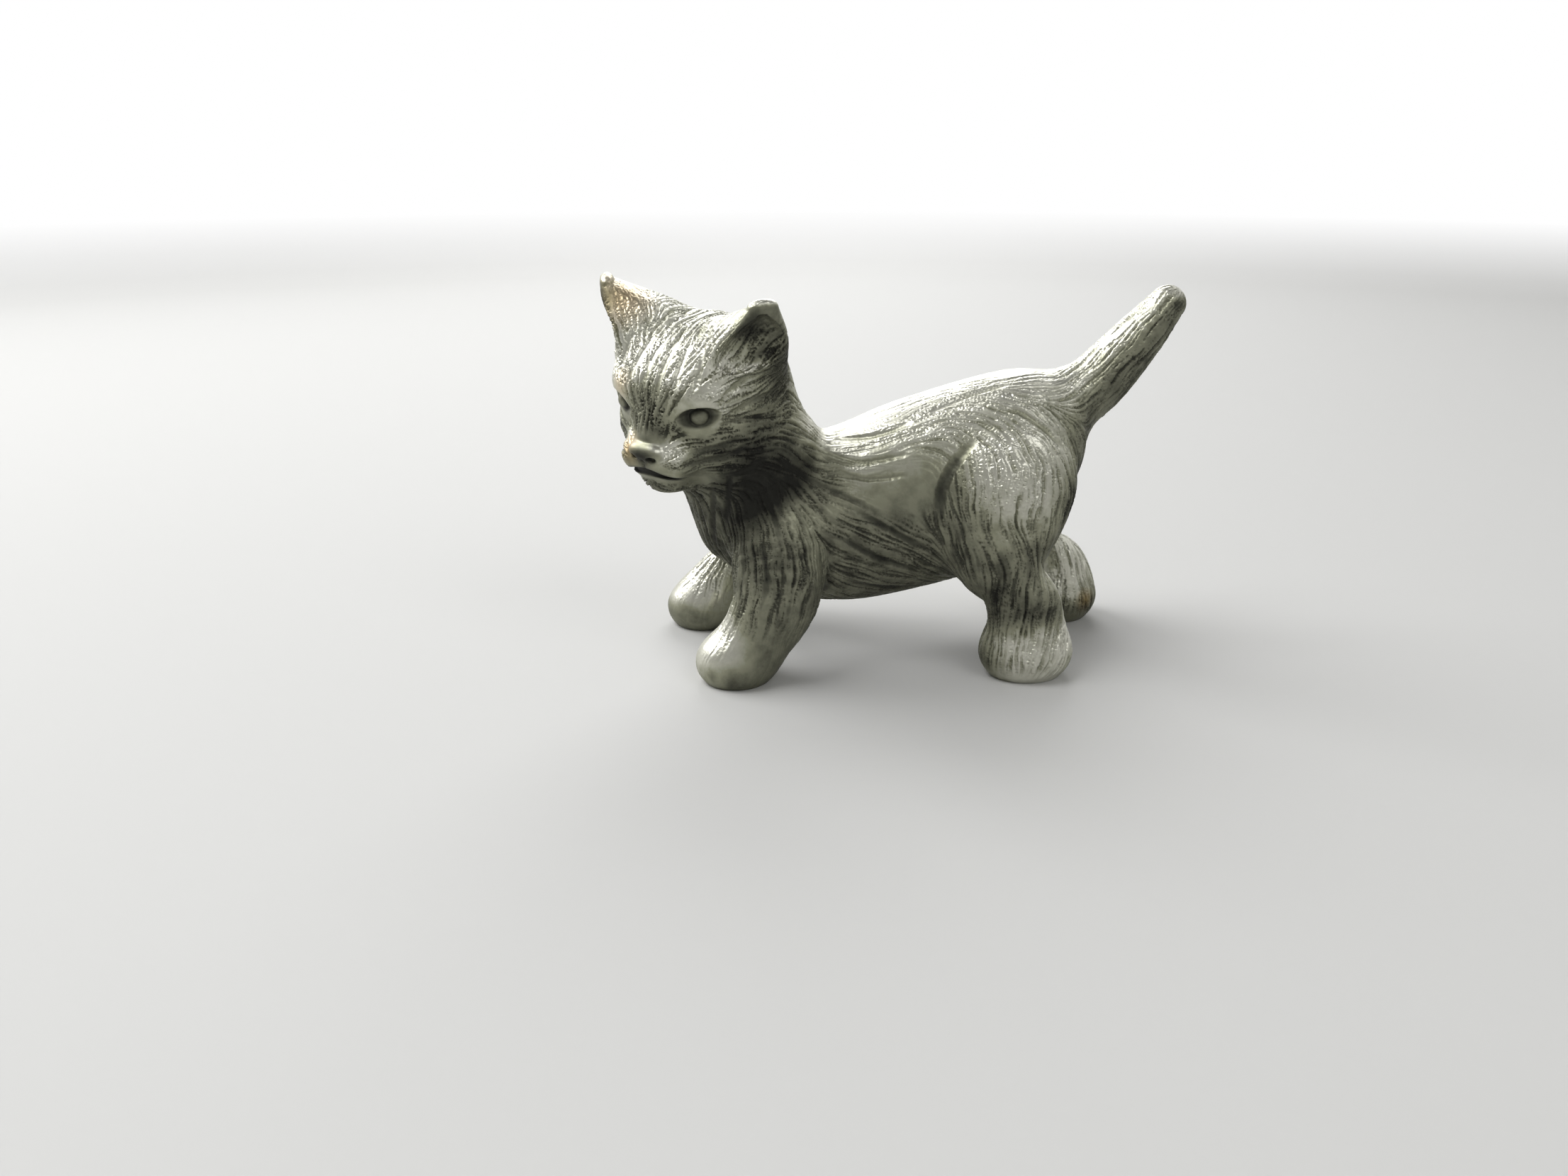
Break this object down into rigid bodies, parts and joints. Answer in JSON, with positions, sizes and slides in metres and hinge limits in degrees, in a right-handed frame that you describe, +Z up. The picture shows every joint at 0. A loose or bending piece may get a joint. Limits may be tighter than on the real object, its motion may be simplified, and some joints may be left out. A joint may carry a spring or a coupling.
{
  "type": "cat figurine",
  "caption": "Small solid pewter kitten ornament, standing on its paws with its head turned to its left and its tail raised.",
  "frame": {"origin": "on the ground, in the middle of the space that the kitten takes up", "axes": "+Z up, +X toward the tail, the kitten's left side toward -Y"},
  "size_m": [0.0422, 0.0174, 0.029],
  "materials": {
    "pewter": "satin"
  },
  "bodies": {
    "root": {"body": "pewter", "head": "pewter", "tail": "pewter", "front_left_leg": "pewter", "front_right_leg": "pewter", "hind_left_leg": "pewter", "hind_right_leg": "pewter"}
  },
  "joints": []
}
